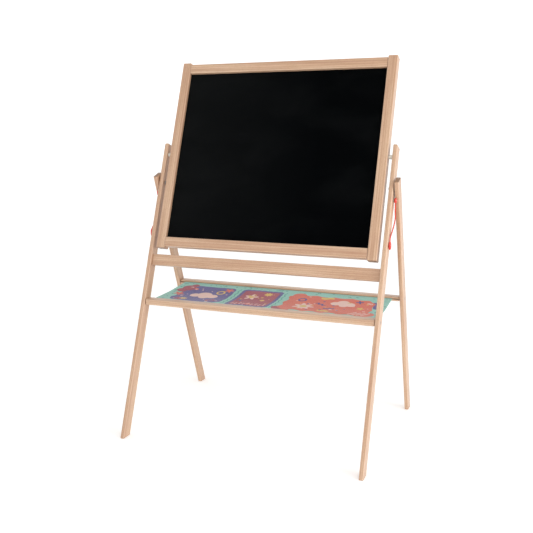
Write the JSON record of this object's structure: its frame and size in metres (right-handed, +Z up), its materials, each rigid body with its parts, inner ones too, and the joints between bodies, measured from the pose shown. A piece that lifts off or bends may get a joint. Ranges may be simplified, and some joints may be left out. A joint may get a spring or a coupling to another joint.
{
  "type": "children's easel",
  "caption": "Folding wooden A-frame easel for children with a turning chalkboard and whiteboard panel and a printed fabric tray between its legs.",
  "frame": {"origin": "on the floor, under the middle of the footprint of the four feet", "axes": "+X to the easel's right seen from the front, +Y from the chalkboard side to the rear legs, +Z up"},
  "size_m": [0.8306, 0.6254, 1.1992],
  "materials": {
    "beech": "satin clear lacquer",
    "chalkboard_black": "matt black chalkboard paint on fibreboard",
    "whiteboard_white": "white gloss laminate on fibreboard",
    "teal_fabric": "printed woven fabric",
    "red_cord": "braided cord",
    "red_bead": "glossy",
    "steel": "zinc plated",
    "pale_plastic": "matt",
    "fibre_rod": "matt"
  },
  "bodies": {
    "front_frame": {"front_leg_left": "beech", "front_leg_right": "beech", "cross_rail": "beech", "cross_rail_dowel_left": "beech", "cross_rail_dowel_right": "beech", "tray_rail_front": "beech", "hem_rod_front": "fibre_rod", "tray_screw_front_left": "steel", "tray_screw_front_right": "steel", "pivot_pin_left": "steel", "pivot_pin_right": "steel", "pivot_spacer_left": "pale_plastic", "pivot_spacer_right": "pale_plastic", "hinge_washer_left": "steel", "hinge_washer_right": "steel", "cord_bead_low_left": "red_bead", "cord_bead_low_right": "red_bead", "tray_fabric": "teal_fabric", "stay_cord_left": "red_cord", "stay_cord_right": "red_cord"},
    "board": {"board_stile_left": "beech", "board_stile_right": "beech", "board_rail_top": "beech", "board_rail_bottom": "beech", "chalkboard_panel": "chalkboard_black", "whiteboard_panel": "whiteboard_white"},
    "rear_frame": {"rear_leg_left": "beech", "rear_leg_right": "beech", "tray_rail_rear": "beech", "hem_rod_rear": "fibre_rod", "tray_screw_rear_left": "steel", "tray_screw_rear_right": "steel", "hinge_bolt_left": "steel", "hinge_bolt_right": "steel", "cord_bead_top_left": "red_bead", "cord_bead_top_right": "red_bead"}
  },
  "joints": [
    {"name": "board_turn", "type": "hinge", "parent": "front_frame", "child": "board", "pos_m": [0, 0.02486, 0.89028], "axis": [1, 0, 0], "continuous": true},
    {"name": "rear_legs_fold", "type": "hinge", "parent": "front_frame", "child": "rear_frame", "pos_m": [0, -0.00297, 0.79686], "axis": [-1, 0, 0], "range_deg": [0, 34.8], "deforming": ["tray_fabric", "stay_cord_left", "stay_cord_right"]}
  ]
}
